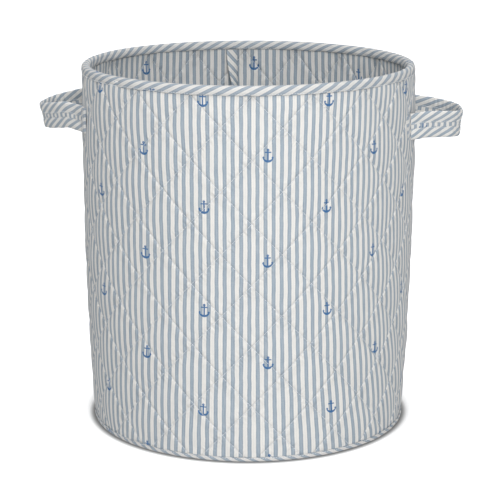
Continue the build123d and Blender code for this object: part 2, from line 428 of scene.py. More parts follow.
def cotton_thread(name):
    """Pale twisted sewing thread."""
    g = Graph(name)
    place = g.node("ShaderNodeTexCoord").outputs["Object"]
    wave = g.node("ShaderNodeTexWave", wave_type="BANDS", bands_direction="DIAGONAL")
    g.plug(place, wave.inputs["Vector"])
    wave.inputs["Scale"].default_value = 900.0
    wave.inputs["Distortion"].default_value = 1.5
    twist = wave.outputs["Fac"]
    g.plug(g.mix(twist, (0.62, 0.67, 0.72), (0.86, 0.88, 0.90)), g.shader.inputs["Base Color"])
    g.plug(g.bump(twist, 0.00006, 0.6), g.shader.inputs["Normal"])
    g.shader.inputs["Roughness"].default_value = 0.6
    g.shader.inputs["Sheen Weight"].default_value = 0.3
    return g.material


CLOTH = printed_cloth("printed_cloth")
# The tape material is the printed cloth darkened all over with painted shade.
TAPE_CLOTH = printed_cloth("printed_tape", painted_tape_shade=TAPE_PAINTED_SHADE)
THREAD = cotton_thread("cotton_thread")


# ---------------------------------------------------------------- camera, light and floor

def add_camera():
    data = bpy.data.cameras.new("camera")
    data.sensor_width = 36.0
    data.lens = 124.6
    camera = bpy.data.objects.new("camera", data)
    camera.location = (2.4 * MM, -2.0795, 0.7276)
    camera.rotation_euler = (pi / 2 - 0.2462, 0, 0)
    bpy.context.scene.collection.objects.link(camera)
    bpy.context.scene.camera = camera


def add_softbox(name, place, target, width, height, watts):
    data = bpy.data.lights.new(name, "AREA")
    data.shape = "RECTANGLE"
    data.size, data.size_y = width, height
    data.energy = watts
    light = bpy.data.objects.new(name, data)
    light.location = place
    light.rotation_euler = (Vector(target) - Vector(place)).to_track_quat("-Z", "Y").to_euler()
    bpy.context.scene.collection.objects.link(light)


def glowing(name, colour, near_glow, far_glow):
    """A matt studio surface that gives off light of its own, near the middle and far from it.

    The dark patch round its middle, where the basket stands, is a painted contact shadow, not a cast
    one.
    """
    g = Graph(name)
    place = g.node("ShaderNodeTexCoord").outputs["Object"]
    distance = g.length(*g.split(place))
    # Painted contact shadow: the glow is only near_glow round the middle, where the basket stands.
    glow = g.add(near_glow, g.multiply(g.step(distance, GLOW_START, GLOW_END), far_glow - near_glow))
    speckle = g.noise(place, 6.0)
    plain = g.mix(g.multiply(speckle, 0.02), colour, (0.9, 0.9, 0.9))
    # Painted contact shadow: the colour darkens towards CONTACT_SHADE round the middle.
    contact = g.step(distance, CONTACT_START, CONTACT_END, reverse=True)
    g.plug(g.mix(contact, plain, CONTACT_SHADE), g.shader.inputs["Base Color"])
    g.shader.inputs["Roughness"].default_value = 0.9
    g.shader.inputs["Specular IOR Level"].default_value = 0.0
    g.shader.inputs["Emission Color"].default_value = (1.0, 1.0, 1.0, 1.0)
    g.plug(glow, g.shader.inputs["Emission Strength"])
    return g.material


def add_studio():
    world = bpy.data.worlds.new("studio")
    world.use_nodes = True
    background = world.node_tree.nodes["Background"]
    background.inputs["Color"].default_value = (1.0, 1.0, 1.0, 1.0)
    background.inputs["Strength"].default_value = AMBIENT
    bpy.context.scene.world = world
    middle = (0, 0, HEIGHT / 2)
    add_softbox("front_softbox", (0.5, -2.85, 1.35), middle, 0.8, 0.8, KEY_WATTS)
    add_softbox("low_softbox", (0.15, -1.9, 0.22), (0.0, 0.0, 0.14), 1.5, 0.35, BOUNCE_WATTS)
    add_softbox("top_softbox", (-0.15, -0.45, 2.6), middle, 1.4, 1.4, TOP_WATTS)
    reach = 12.0
    floor_mesh = bpy.data.meshes.new("studio_floor")
    floor_corners = [(-reach, -reach, 0), (reach, -reach, 0), (reach, reach, 0), (-reach, reach, 0)]
    floor_mesh.from_pydata(floor_corners, [], [(0, 1, 2, 3)])
    floor_look = glowing("studio_floor", (0.93, 0.93, 0.93), CONTACT_GLOW, FLOOR_GLOW)
    floor_mesh.materials.append(floor_look)
    floor = bpy.data.objects.new("studio_floor", floor_mesh)
    bpy.context.scene.collection.objects.link(floor)
    wall_mesh = bpy.data.meshes.new("studio_backdrop")
    wall_corners = [(-reach, 5, -1), (reach, 5, -1), (reach, 5, reach), (-reach, 5, reach)]
    wall_mesh.from_pydata(wall_corners, [], [(0, 1, 2, 3)])
    backdrop_look = glowing("studio_backdrop", (0.5, 0.5, 0.5), BACKDROP_GLOW, BACKDROP_GLOW)
    wall_mesh.materials.append(backdrop_look)
    wall = bpy.data.objects.new("studio_backdrop", wall_mesh)
    bpy.context.scene.collection.objects.link(wall)
    for surround in (floor, wall):
        surround.visible_diffuse = False
        surround.visible_glossy = False
    bpy.context.scene.view_settings.view_transform = "Standard"


# ---------------------------------------------------------------- quilted cloth

def stripe_place(angle, height):
    """Where a point of the wall lies on the printed cloth, across its stripes, in millimetres.

    The stripes stand a little wider on the left and at the lower edge than at the upper right,
    perhaps because the cloth is eased on. The factors are rounded from a least-squares fit to
    measured stripes on the front. The sine and cosine only let it close smoothly at the back.
    """
    down = 1 - height / HEIGHT
    lean = (4.4 * down - 6.9 * down ** 2) * np.sin(angle)
    beyond_side = np.maximum(np.abs(angle) - pi / 2, 0)
    eased = 2 * (1 - np.cos(np.clip(angle, -pi / 2, pi / 2))) + 0.6 * (1 - np.exp(-beyond_side / 0.3))
    ease = (0.93 + 2.0 * down - 3.85 * down ** 2) * eased
    return STRIPE * (21.3 * angle + lean + ease - 0.18), height / MM + 2.4 * angle


def lining_place(angle, height):
    """Where a point of the lining lies on its own piece of the same cloth, in millimetres."""
    droop = 7.3 * smooth(pi - angle, 0.0, 0.79) * smooth(angle, -1.0, 1.0)
    return 185.0 * angle + 28.4, height / MM - 52.4 + droop


def settle(angle, height):
    """Height of the cloth once hung: the quilting sits a little lower round the back."""
    from_front = np.abs((angle + pi) % tau - pi)
    back = smooth(from_front, radians(70), radians(165))
    free = (1 - (np.clip(height, 0, WALL_HIGH) / WALL_HIGH) ** 12) * smooth(height, WALL_LOW, 70 * MM)
    return height - 11.2 * MM * back * free


def out_of_round(angle):
    """The mouth is pulled out slightly on the right."""
    return 1.3 * MM * np.exp(-((angle - radians(95)) / radians(35)) ** 2)


def quilt_lines(angle, height):
    """The two diagonal coordinates of the quilting: a line of stitches runs at each whole number."""
    a = (angle - NODE_ANGLE) * DIAMONDS_ROUND / tau
    b = (height - NODE_HEIGHT) / DIAMOND_HEIGHT
    return a + b, a - b


def puff(p, q, sharpness=0.42):
    """Height of the padded cloth between the lines of stitches, from 0 on a line to 1."""
    ridge_p = np.abs(np.sin(pi * p)) ** sharpness
    ridge_q = np.abs(np.sin(pi * q)) ** sharpness
    return ridge_p * ridge_q


def wall_shape(angle, height, inside):
    """Radius of the wall's face with its puffs, puckers and slack, at a height of the flat cloth."""
    p, q = quilt_lines(angle, height)
    side = -1 if inside else 1
    surface = profile(height) - (WALL_THICKNESS if inside else 0)
    fullness = 1 + 0.16 * ripple(angle, height, 11, a_reach=12, b_reach=60)
    lift = -1.6 * MM + (1.7 + 0.7 * np.abs(np.sin(angle))) * MM * fullness * puff(p, q)
    on_p, on_q = np.abs(np.sin(pi * p)), np.abs(np.sin(pi * q))
    lift = lift - 0.4 * MM * np.exp(-((on_p + on_q) / 0.16) ** 2)
    near_line = np.exp(-np.minimum(on_p, on_q) / 0.22)
    pucker = 0.26 * MM * ripple(angle, height, 5, waves=16, a_reach=80, b_reach=120) * near_line
    sides = smooth(np.abs(np.sin(angle)), 0.70, 0.98)
    under_rim = np.exp(-np.abs(RIM_EDGE - height) / (22 * MM))
    gathered = ripple(angle, height, 8, waves=9, a_reach=55, b_reach=60)
    gathers = (0.2 + 0.9 * sides) * MM * gathered * under_rim
    slack = 0.6 * MM * ripple(angle, height, 3, waves=8, a_reach=6, b_reach=16)
    tuck = -1.0 * MM * np.exp(-np.maximum(RIM_EDGE - height, 0) / (5 * MM))
    tuck = tuck - 1.2 * MM * np.exp(-np.maximum(height - BASE_EDGE, 0) / (9 * MM))
    held_above = smooth(WALL_HIGH + 4 * MM - height, 0, 22 * MM)
    held = smooth(height, WALL_LOW, WALL_LOW + 16 * MM) * held_above
    shape = side * (lift * (0.25 + 0.75 * held) + (pucker + gathers) * held) + slack * held
    pulled_out = out_of_round(angle) * (height / HEIGHT) ** 2
    return surface + shape + tuck * (0.4 if inside else 1.0) + pulled_out


def wall_face(name, cells, inside):
    """One quilted face of the wall as a closed shell, with a plain back inside the wadding."""
    rows_per_mm = cells / DIAMOND_HEIGHT
    first = math.ceil((WALL_LOW + 1.2 * MM - NODE_HEIGHT) * rows_per_mm)
    last = math.floor((WALL_HIGH - 0.8 * MM - NODE_HEIGHT) * rows_per_mm)
    heights = NODE_HEIGHT + np.arange(first, last + 1) / rows_per_mm
    row_number = np.arange(first, last + 1)
    heights = np.concatenate([[WALL_LOW], heights, [WALL_HIGH]])
    row_number = np.concatenate([[first - 1], row_number, [last + 1]])
    round_count = DIAMONDS_ROUND * cells
    seam = round((SEAM_ANGLE - NODE_ANGLE) / tau * round_count)
    column_number = seam - round_count + np.arange(round_count + 1)
    angles = NODE_ANGLE + column_number / round_count * tau

    angle, height = np.meshgrid(angles[:-1], heights)
    radius = wall_shape(angle, height, inside)
    front = around(radius, angle, settle(angle, height)).reshape(-1, 3)
    back_inset = (WALL_THICKNESS / 2 + 0.15 * MM) if inside else (WALL_THICKNESS / 2 - 0.15 * MM)
    back_rows = np.linspace(len(heights) - 1, 0, 6).round().astype(int)
    back_angle, back_height = np.meshgrid(angles[:-1], heights[back_rows])
    back = around(profile(back_height) - back_inset, back_angle, back_height).reshape(-1, 3)

    rows, columns = len(heights), round_count
    j, i = np.meshgrid(np.arange(rows - 1), np.arange(columns), indexing="ij")
    here, right = j * columns + i, j * columns + (i + 1) % columns
    above, above_right = here + columns, right + columns
    number = (column_number[:-1][None, :] + row_number[:-1][:, None] + 1) % cells
    falling = number == 0
    corner = np.stack([here, right, above_right, above], -1)
    uv_i = np.stack([i, i + 1, i + 1, i], -1)
    uv_j = np.stack([j, j, j + 1, j + 1], -1)
    order_up = np.array([[0, 1, 2], [0, 2, 3]])
    order_down = np.array([[0, 1, 3], [1, 2, 3]])
    order = np.where(falling[..., None, None], order_down, order_up)
    pick = lambda table: np.take_along_axis(table[:, :, None, :], order, -1).reshape(-1, 3)
    faces, tri_i, tri_j = pick(corner), pick(uv_i), pick(uv_j)
    place = lining_place if inside else stripe_place
    uv = np.stack(place(angles[tri_i], heights[tri_j]), -1)
    quilt = np.stack(quilt_lines(angles[tri_i], heights[tri_j]), -1) + 0.5

    faces_back, uv_back = [], []
    k = np.arange(columns)
    base = len(front)
    rings = [(rows - 1) * columns] + [base + n * columns for n in range(6)] + [0]
    ring_heights = [heights[-1]] + list(heights[back_rows]) + [heights[0]]
    ring_pairs = zip(rings, rings[1:])
    height_pairs = zip(ring_heights, ring_heights[1:])
    for (low, high), (z_low, z_high) in zip(ring_pairs, height_pairs):
        quad = np.stack([low + k, low + (k + 1) % columns, high + (k + 1) % columns, high + k], -1)
        faces_back += [quad[:, [0, 1, 2]], quad[:, [0, 2, 3]]]
        corners = ((0, z_low), (1, z_low), (1, z_high), (0, z_high))
        places = [np.stack(place(angles[k + d], np.full(columns, z)), -1) for d, z in corners]
        for picked in ((0, 1, 2), (0, 2, 3)):
            uv_back.append(np.stack([places[c] for c in picked], 1))
    faces = np.concatenate([faces] + faces_back)
    uv = np.concatenate([uv.reshape(-1, 3, 2)] + uv_back)
    plain = np.zeros((len(faces) - len(quilt), 3, 2))
    quilt = np.concatenate([quilt, plain])
    if inside:
        faces, uv, quilt = faces[:, ::-1], uv[:, ::-1], quilt[:, ::-1]
    piece = make_piece(name, np.concatenate([front, back]), faces, CLOTH, uv)
    add_map(piece, "Quilt", quilt)
    return piece


# ---------------------------------------------------------------- bias tape

def bias_cut(along, across, slope, period, shift):
    """Cloth map of a bias tape, from places along and across it in millimetres.

    slope is the angle of its stripes to the tape and period is their spacing along it.
    """
    x = STRIPE / period * (along - across / math.tan(slope)) + shift[0]
    y = ANCHOR_SPREAD * (along * cos(slope) + across * sin(slope)) + shift[1]
    return np.stack([x, y], -1)


def ring_tape(name, section, detail, slope, period, shift):
    """A closed ring of bias tape. section(angle) gives the closed outline as (radius, height) rows."""
    angles = SEAM_ANGLE - tau + np.arange(detail + 1) / detail * tau
    outline = np.stack([section(a) for a in angles[:-1]], 0)
    count = outline.shape[1]
    points = around(outline[..., 0], angles[:-1, None], outline[..., 1]).reshape(-1, 3)
    first = section(0.0)
    step = np.hypot(*np.diff(np.vstack([first, first[:1]]), axis=0).T)
    across = np.concatenate([[0], np.cumsum(step)]) / MM
    i, j = np.meshgrid(np.arange(detail), np.arange(count), indexing="ij")
    nxt, up = (i + 1) % detail, (j + 1) % count
    corners = [i * count + j, nxt * count + j, nxt * count + up, i * count + up]
    faces = np.stack(corners, -1).reshape(-1, 4)
    along = angles * MOUTH_RADIUS / MM
    s = np.stack([along[i], along[i + 1], along[i + 1], along[i]], -1).reshape(-1, 4)
    t = np.stack([across[j], across[j], across[j + 1], across[j + 1]], -1).reshape(-1, 4)
    uv = bias_cut(s, t, slope, period, shift)
    return make_piece(name, points, faces, TAPE_CLOTH, uv)


def rim_section(angle):
    """Outline of the tape folded over the rim: out and over the roll, then back inside it."""
    spread = 1.0 + 0.05 * float(ripple(angle, 0.0, 21, waves=6, a_reach=14))
    roll = (WALL_THICKNESS / 2 + TAPE + 0.1 * MM)
    top_z = HEIGHT - roll
    mid = float(profile(top_z)) - WALL_THICKNESS / 2
    drawn_in = 1.4 * MM * float(smooth(abs(sin(angle)), 0.3, 0.95))
    mid += float(out_of_round((angle + pi) % tau - pi)) - drawn_in
    edge_wave = 0.35 * MM * float(ripple(angle, 1.0, 22, waves=8, a_reach=60))
    low = RIM_EDGE + edge_wave
    puffy = 0.45 * MM * float(ripple(angle, 2.0, 23, waves=10, a_reach=70))
    skin = []
    for t in np.linspace(0, 1, 6)[:-1]:
        z = low + (top_z - low) * t
        stitched = 0.35 * MM * math.exp(-((t - 0.14) / 0.09) ** 2)
        swell = 0.5 * MM * math.sin(pi * min(1.0, max(0.0, (t - 0.12) / 0.88))) - stitched
        skin.append((roll * spread + swell + puffy * t, z))
    for t in np.linspace(0, pi, 13):
        crown = top_z + (roll * (0.96 + 0.04 * spread)) * sin(t)
        skin.append(((roll * spread + puffy) * cos(t), crown))
    for t in np.linspace(1, 0, 6)[1:]:
        z = low + (top_z - low) * t
        swell = 0.5 * MM * math.sin(pi * min(1.0, max(0.0, (t - 0.12) / 0.88)))
        skin.append((-(roll * spread + swell + puffy * t), z))
    skin = np.array(skin)
    lining = skin[::-1].copy()
    lining[:, 0] = np.sign(lining[:, 0]) * (np.abs(lining[:, 0]) - TAPE)
    above = lining[:, 1] > top_z
    lining[above, 1] = top_z + (lining[above, 1] - top_z) * (1 - TAPE / roll)
    outline = np.vstack([skin, lining])
    outline[:, 0] += mid
    return outline


def base_section(angle):
    """Outline of the tape round the lower edge: down the wall, under it and up inside the base."""
    swell = 0.25 * MM * float(ripple(angle, 3.0, 31, waves=8, a_reach=40))
    top = BASE_EDGE + 0.2 * MM * float(ripple(angle, 4.0, 32, waves=8, a_reach=70))
    face = float(profile(0)) + 0.25 * MM + swell
    depth = WALL_THICKNESS + 0.6 * MM
    corner = 2.0 * MM
    skin = [(0.1 * MM, top), (-0.45 * MM, top - 1.3 * MM), (0.1 * MM, top - 2.4 * MM)]
    for t in np.linspace(0, pi / 2, 6):
        skin.append((corner * (cos(t) - 1) + 0.1 * MM, corner * (1 - sin(t))))
    for t in np.linspace(0, pi / 2, 5):
        skin.append((corner * (1 - sin(t)) - depth, corner * (1 - cos(t))))
    skin += [(-depth, top - 1 * MM)]
    skin = np.array(skin)
    middle = np.array([-depth / 2, top])
    lining = skin[::-1] * 1.0
    lining[:, 0] += np.where(lining[:, 0] > middle[0], -TAPE, TAPE)
    lining[:, 1] = np.maximum(lining[:, 1], TAPE)
    outline = np.vstack([skin, lining])
    outline[:, 0] += face
    return outline


def stitch_run(route, lift, pitch, length, radius):
    """Points and faces of single stitches along a route, each dipping into the cloth at its ends.

    route is points with the outward direction at each, as (n, 3) arrays.
    """
    points, outward = route
    gaps = np.linalg.norm(np.diff(points, axis=0), axis=1)
    reach = np.concatenate([[0], np.cumsum(gaps)])
    count = max(1, int(reach[-1] / pitch))
    starts = (np.arange(count) + 0.5 * (1 - length / pitch)) * pitch
    parts = np.array([0.0, 0.2, 0.8, 1.0])
    where = starts[:, None] + parts * length
    at = lambda values: np.stack([np.interp(where, reach, values[:, k]) for k in range(3)], -1)
    centre, up = at(points), at(outward)
    up /= np.linalg.norm(up, axis=-1, keepdims=True)
    along = centre[:, -1] - centre[:, 0]
    along /= np.linalg.norm(along, axis=-1, keepdims=True)
    side = np.cross(along[:, None, :], up)
    rise = np.array([-1.1, 0.35, 0.35, -1.1]) * radius + lift
    girth = np.array([0.7, 1.0, 1.0, 0.7]) * radius
    centre = centre + up * rise[None, :, None]
    turn = np.arange(4) * tau / 4
    ring = side[:, :, None, :] * np.cos(turn)[:, None] + up[:, :, None, :] * np.sin(turn)[:, None]
    vertices = centre[:, :, None, :] + ring * girth[None, :, None, None]
    quads = []
    for k in range(3):
        for c in range(4):
            d = (c + 1) % 4
            quads.append([4 * k + c, 4 * k + d, 4 * k + 4 + d, 4 * k + 4 + c])
    quads += [[3, 2, 1, 0], [12, 13, 14, 15]]
    faces = np.array(quads)[None] + 16 * np.arange(count)[:, None, None]
    return vertices.reshape(-1, 3), faces.reshape(-1, 4)


def stitches(name, routes, lift=0.0, pitch=3.7 * MM, length=3.2 * MM, radius=0.24 * MM):
    """One piece holding every stitch of several routes."""
    points, faces, total = [], [], 0
    for route in routes:
        some_points, some_faces = stitch_run(route, lift, pitch, length, radius)
        points.append(some_points)
        faces.append(some_faces + total)
        total += len(some_points)
    return make_piece(name, np.concatenate(points), np.concatenate(faces), THREAD)


def quilting_routes(inside):
    """The diagonal lines of stitches on one face of the wall."""
    low, high = (BASE_TOP if inside else BASE_EDGE) + 1 * MM, RIM_EDGE - 0.5 * MM
    height = np.linspace(low, high, 600)
    climb = (height - NODE_HEIGHT) / DIAMOND_HEIGHT
    routes = []
    for k in range(DIAMONDS_ROUND):
        for way in (-1, 1):
            angle = NODE_ANGLE + (k + way * climb) * tau / DIAMONDS_ROUND
            radius = wall_shape(angle, height, inside)
            points = around(radius, angle, settle(angle, height))
            outward = around(np.ones_like(angle), angle, 0 * height) * (-1 if inside else 1)
            routes.append((points, outward))
    return routes


def ring_route(radius, height, out, seed):
    """A nearly level ring of stitches; out is 1 for the outside and -1 for the inside."""
    angle = np.linspace(0, tau, 1400)
    level = height + 0.25 * MM * ripple(angle, 0.0, seed, waves=8, a_reach=60)
    outward = out * around(np.ones_like(angle), angle, 0 * angle)
    return around(radius + 0 * angle, angle, level), outward


def seam_fin():
    """Tape over the wall's joined ends: it lies flat at the top and stands off the lining below."""
    box_low, box_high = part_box("wall_seam_binding")
    root = pi + math.asin(-box_high.x / MOUTH_RADIUS)
    heights = np.linspace(box_low.z, box_high.z, 150)
    lean = radians(24) + radians(58) * smooth(heights, 0.375, 0.428)
    lean = lean + radians(7) * ripple(0.0, heights, 41, waves=5, b_reach=60)
    length, half = 15.0 * MM, 1.5 * MM
    t = np.linspace(0, 1, 10)
    shape = half * np.array([1.1, 0.8, 1.0, 1.05, 1.0, 0.85, 0.75, 1.0, 0.8, 0.0])
    outline = [(length * a, b) for a, b in zip(t, shape)]
    outline += [(length * a, -b) for a, b in zip(t[-2::-1], shape[-2::-1])]
    outline = np.array(outline)
    developed = np.concatenate([[0], np.cumsum(np.hypot(*np.diff(outline, axis=0).T))]) / MM
    inner = profile(heights) - WALL_THICKNESS - 0.6 * MM
    foot = np.stack([inner * sin(root), -inner * cos(root)], -1)
    inward = np.array([-sin(root), cos(root)])
    sideways = np.array([-1.0, 0.05])
    waves = 0.5 * MM * ripple(0.0, heights, 42, waves=7, b_reach=140)
    points = []
    for z, place, angle, wave in zip(heights, foot, lean, waves):
        out = inward * cos(angle) + sideways * sin(angle)
        across = np.array([out[1], -out[0]])
        rows = place + out * outline[:, :1] + across * (outline[:, 1:] + wave * outline[:, :1] / length)
        points.append(np.column_stack([rows, np.full(len(rows), z)]))
    count = len(outline)
    faces, uv = [], []
    bias = radians(-42)
    for j in range(len(heights) - 1):
        for k in range(count):
            nxt = (k + 1) % count
            faces.append((j * count + k, j * count + nxt, (j + 1) * count + nxt, (j + 1) * count + k))
            for i, level in ((k, j), (k + 1, j), (k + 1, j + 1), (k, j + 1)):
                s = developed[i] if i < count else developed[-1] + 3.0
                h = heights[level] / MM
                uv.append((s * cos(bias) - h * sin(bias), s * sin(bias) + h * cos(bias)))
    points = np.concatenate(points)
    return make_piece("wall_seam_tape", points, np.array(faces), CLOTH, uv)


def quilted_disc(name, radius, level, rise, thickness, up, seed):
    """A round quilted panel as a closed shell. up is 1 if it looks up and -1 if it looks down."""
    rings, spokes = 64, 216
    r = np.linspace(0, radius, rings + 1)[1:]
    t = np.arange(spokes) / spokes * tau
    ring, spoke = np.meshgrid(r, t, indexing="ij")
    x, y = ring * np.cos(spoke), ring * np.sin(spoke)

    def face_height(x, y, ring):
        p, q = (x + y) / BASE_DIAMOND, (x - y) / BASE_DIAMOND
        soft = smooth(radius - ring, 0, 9 * MM)
        uneven = 0.25 * ripple(0.0, x, seed) * ripple(0.0, y, seed + 1) * soft
        return level + up * rise * (puff(p, q) * soft + uneven)

    top = face_height(x, y, ring)
    centre = face_height(np.array([0.0]), np.array([0.0]), np.array([0.0]))
    top_points = np.column_stack([x.ravel(), y.ravel(), top.ravel()])
    under = level - up * thickness
    under_points = np.column_stack([x[-1], y[-1], np.full(spokes, under)])
    points = np.vstack([[0, 0, centre[0]], top_points, under_points, [0, 0, under]])
    k = np.arange(spokes)
    n = (k + 1) % spokes
    faces = [np.column_stack([0 * k, 1 + k, 1 + n])]
    for j in range(rings - 1):
        a, b = 1 + j * spokes, 1 + (j + 1) * spokes
        faces += [np.column_stack([a + k, b + k, b + n]), np.column_stack([a + k, b + n, a + n])]
    a, b = 1 + (rings - 1) * spokes, 1 + rings * spokes
    faces += [np.column_stack([a + k, b + k, b + n]), np.column_stack([a + k, b + n, a + n])]
    faces += [np.column_stack([np.full(spokes, len(points) - 1), b + n, b + k])]
    faces = np.concatenate(faces)
    if up < 0:
        faces = faces[:, ::-1]
    flat = points[faces][..., :2]
    piece = make_piece(name, points, faces, CLOTH, flat / MM)
    x, y = flat[..., 0], flat[..., 1]
    add_map(piece, "Quilt", np.stack([(x + y) / BASE_DIAMOND, (x - y) / BASE_DIAMOND], -1) + 0.5)
    return piece


# ---------------------------------------------------------------- handles

# Control points of each strap's middle line, in mm: distance out from the axis, then along the wall
RIGHT_LOOP = [(186.5, -76), (198, -69), (213, -60.5), (230, -50.5), (247, -38), (257, -25),
              (260, -2), (259, 24), (252, 43), (238, 55), (221, 61), (204, 65), (189.5, 68)]
LEFT_LOOP = [(187.5, -69), (200, -69.5), (217, -70), (238, -68), (254, -61), (261, -49), (263, -30),
             (262, -8), (258, 10), (250, 25), (237, 38), (220, 52), (204, 65), (182.5, 84.5)]


class Handle:
    """One strap loop: where it stands and the line its middle follows, in the basket's frame.

    The loop's control points are (distance out, distance along the wall).
    """

    def __init__(self, side, droop, loop, core_shift):
        joints = frame["record"]["behaviour"]["joints"]
        place = next(joint for joint in joints if joint["name"] == side + "_handle_swing")["pos_m"]
        self.side = side
        self.droop = radians(droop)
        self.hinge = math.hypot(place[0], place[1])
        self.outward = np.array([place[0], place[1], 0.0]) / self.hinge
        self.along = np.cross([0.0, 0.0, 1.0], self.outward)
        self.middle = place[2]
        self.core_shift = core_shift
        line = np.array(loop) * MM
        for _ in range(4):
            cut = np.stack([0.75 * line[:-1] + 0.25 * line[1:], 0.25 * line[:-1] + 0.75 * line[1:]], 1)
            line = np.vstack([line[:1], cut.reshape(-1, 2)[1:-1], line[-1:]])
        reach = np.concatenate([[0], np.cumsum(np.hypot(*np.diff(line, axis=0).T))])
        self.reach = np.linspace(0, reach[-1], 220)
        self.line = np.column_stack([np.interp(self.reach, reach, line[:, k]) for k in (0, 1)])
        way = np.gradient(self.line, axis=0)
        way /= np.hypot(*way.T)[:, None]
        self.normal = np.column_stack([way[:, 1], -way[:, 0]])
        self.bend = np.gradient(np.unwrap(np.arctan2(way[:, 1], way[:, 0])), self.reach)

    def place(self, plan, rise):
        """World points from places in the plan of the loop and heights off its middle line."""
        lean = self.droop * smooth(plan[..., 0], self.hinge - 14 * MM, self.hinge + 12 * MM)
        out = plan[..., 0] - self.hinge
        reach = self.hinge + out * np.cos(lean) + rise * np.sin(lean)
        height = self.middle - out * np.sin(lean) + rise * np.cos(lean)
        points = reach[..., None] * self.outward + plan[..., 1:] * self.along
        points[..., 2] = height
        return points

    def sweep(self, name, outline, slope, period, shift, slot, crumple, seed):
        """A closed outline of (proud, height) rows swept round the loop, with its ends closed."""
        s = self.reach
        skin = np.array(outline) * MM
        proud, rise = skin[:, 0], skin[:, 1]
        side = np.sign(proud)
        uneven = ripple(s[:, None] * 60, rise[None, :], seed, waves=9, a_reach=5, b_reach=90)
        swell = 1 + crumple * uneven
        tight = np.clip(self.bend / 30.0, 0, 1)[:, None]
        fold_wave = np.cos(s[:, None] / (1.05 * MM) + 40 * rise[None, :])
        folds = 0.45 * MM * tight * fold_wave * np.maximum(side, -side * 1.4)
        drift = 0.5 * MM * ripple(s * 25, 0.0, 71, waves=5, a_reach=4)[:, None]
        edge = 0.35 * MM * ripple(s * 40, 0.0, seed + 5, waves=6, a_reach=6)[:, None]
        offset = proud[None, :] * swell + folds * np.abs(proud)[None, :] / (2 * MM) + drift
        plan = self.line[:, None, :] + self.normal[:, None, :] * offset[..., None]
        level = rise[None, :] + edge * np.clip(np.abs(rise)[None, :] / (16 * MM), 0, 1) ** 2
        points = self.place(plan, np.broadcast_to(level, offset.shape))
        rows, count = offset.shape
        around_skin = np.hypot(*np.diff(np.vstack([skin, skin[:1]]), axis=0).T)
        developed = np.concatenate([[0], np.cumsum(around_skin)]) / MM
        i, j = np.meshgrid(np.arange(rows - 1), np.arange(count), indexing="ij")
        nxt = (j + 1) % count
        ahead = (i + 1) * count
        faces = np.stack([i * count + j, ahead + j, ahead + nxt, i * count + nxt], -1)
        faces = faces.reshape(-1, 4)
        along = np.stack([s[i], s[i + 1], s[i + 1], s[i]], -1).reshape(-1, 4) / MM
        across = np.stack([developed[j], developed[j], developed[j + 1], developed[j + 1]], -1)
        across = across.reshape(-1, 4)
        uv = list(bias_cut(along, across, slope, period, shift).reshape(-1, 2))
        caps = [np.arange(count)[None, :], (rows - 1) * count + np.arange(count)[::-1][None, :]]
        uv += [(c, 0.0) for c in developed[:count]] + [(c, 0.0) for c in developed[:count][::-1]]
        points = points.reshape(-1, 3)
        return make_piece(name, points, [faces, *caps], CLOTH, np.array(uv))


def tape_outline(up):
    """Tape folded over one edge of a strap, as a closed outline in millimetres; up is 1 or -1."""
    rise = np.array([2.5, 3.1, 3.9, 5.0, 7.0, 9.5, 12.0, 14.0, 15.2, 15.8, 16.0])
    proud = np.array([1.35, 1.40, 1.05, 1.45, 1.85, 2.0, 1.9, 1.65, 1.2, 0.65, 0.0])
    outer = list(zip(proud, rise)) + list(zip(-proud[-2::-1], rise[-2::-1]))
    inner = [(math.copysign(max(abs(a) - 0.55, 0.0), a), min(b, 15.3)) for a, b in reversed(outer)]
    outline = np.array(outer + inner)
    if up < 0:
        outline = outline[::-1] * np.array([1.0, -1.0])
    return outline


def core_outline():
    """The strap's own padded band, as a closed outline in millimetres."""
    half = [(0.55, -13.0), (0.75, -6.0), (0.85, -3.0), (1.1, -1.6), (1.25, 0.0),
            (1.1, 1.6), (0.85, 3.0), (0.75, 6.0), (0.55, 13.0)]
    return np.array(half + [(-a, b) for a, b in reversed(half)])


def build_handle(handle):
    name = handle.side + "_handle_"
    core = handle.sweep(name + "core_band", core_outline(), radians(90), STRIPE,
                        handle.core_shift, "printed_fabric", 0.10, 51)
    upper = handle.sweep(name + "upper_tape", tape_outline(1), STRAP_SLOPE, STRAP_PERIOD,
                         (0.0, 20.0), "bias_binding", 0.16, 52)
    lower = handle.sweep(name + "lower_tape", tape_outline(-1), STRAP_SLOPE, STRAP_PERIOD,
                         (4.0, 140.0), "bias_binding", 0.16, 53)
    routes = []
    for rise in (-3.9, 3.9):
        for out in (-1, 1):
            plan = handle.line + handle.normal * out * 1.1 * MM
            drift = 0.5 * MM * ripple(handle.reach * 25, 0.0, 71, waves=5, a_reach=4)[:, None]
            points = handle.place(plan + handle.normal * drift, np.full(len(plan), rise * MM))
            facing = out * (handle.normal[:, :1] * handle.outward + handle.normal[:, 1:] * handle.along)
            routes.append((points, facing))
    thread = stitches(name + "tape_stitches", routes, 0.1 * MM, **STRAP_STITCH)
    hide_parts(name + "core")
    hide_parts(name + "upper_binding")
    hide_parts(name + "lower_binding")
    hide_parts(name + "stitching")
    for piece in (core, upper, lower, thread):
        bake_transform(piece)


